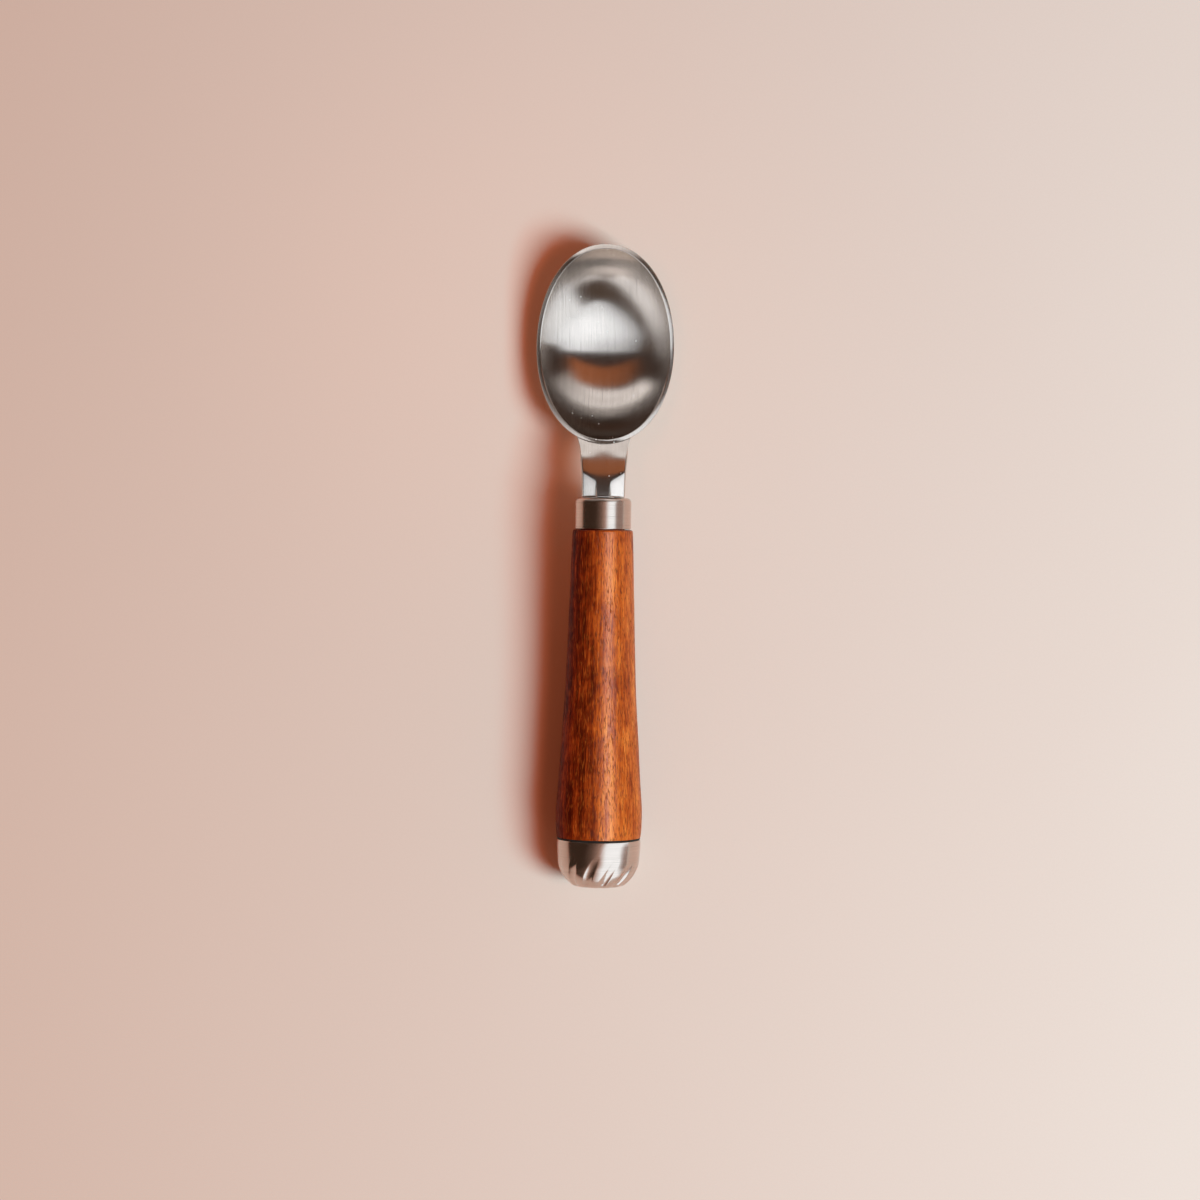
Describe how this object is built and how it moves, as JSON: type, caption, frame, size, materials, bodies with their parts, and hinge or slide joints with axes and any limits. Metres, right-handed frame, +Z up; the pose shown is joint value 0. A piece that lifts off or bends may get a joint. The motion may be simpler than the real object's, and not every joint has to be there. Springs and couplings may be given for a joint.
{
  "type": "cookie scoop",
  "caption": "Solid dipper scoop for dough or ice cream: oval steel bowl on a short neck, steel ferrule, turned hardwood grip and a fluted screw-on pommel.",
  "frame": {"origin": "on the table, under the middle of the scoop's length, in its plane of symmetry", "axes": "+Y towards the tip of the bowl, +X to the right seen from above with the tip away, +Z up out of the bowl; the scoop lies at rest on its belly and pommel, so the handle's axis rises 4 degrees towards +Y"},
  "size_m": [0.0454, 0.2104, 0.0307],
  "materials": {
    "head_steel": "brushed along the scoop, satin",
    "ferrule_steel": "brushed, satin",
    "pommel_steel": "polished satin",
    "hardware_steel": "plain machined",
    "hardwood": "oiled satin, long grain",
    "black_rubber": "matt"
  },
  "bodies": {
    "scoop": {"scoop_head": "head_steel", "ferrule": "ferrule_steel", "neck_seal": "black_rubber", "index_dowel": "hardware_steel", "grip": "hardwood", "tie_rod": "hardware_steel", "flat_washer": "hardware_steel", "lock_washer": "hardware_steel", "clamp_nut": "hardware_steel"},
    "gasket": {"pommel_gasket": "black_rubber"},
    "pommel": {"pommel": "pommel_steel"}
  },
  "joints": [
    {"name": "pommel_travel", "type": "slide", "parent": "scoop", "child": "gasket", "axis": [0, -0.9976, -0.0698], "range_m": [0, 0.00901]},
    {"name": "pommel_turn", "type": "hinge", "parent": "gasket", "child": "pommel", "pos_m": [0, -0.08969, 0.01389], "axis": [0, -0.9976, -0.0698], "range_deg": [0, 3240]}
  ],
  "couplings": [
    {"joint": "pommel_travel", "follows": "pommel_turn", "m_per_rad": 0.00015915}
  ]
}
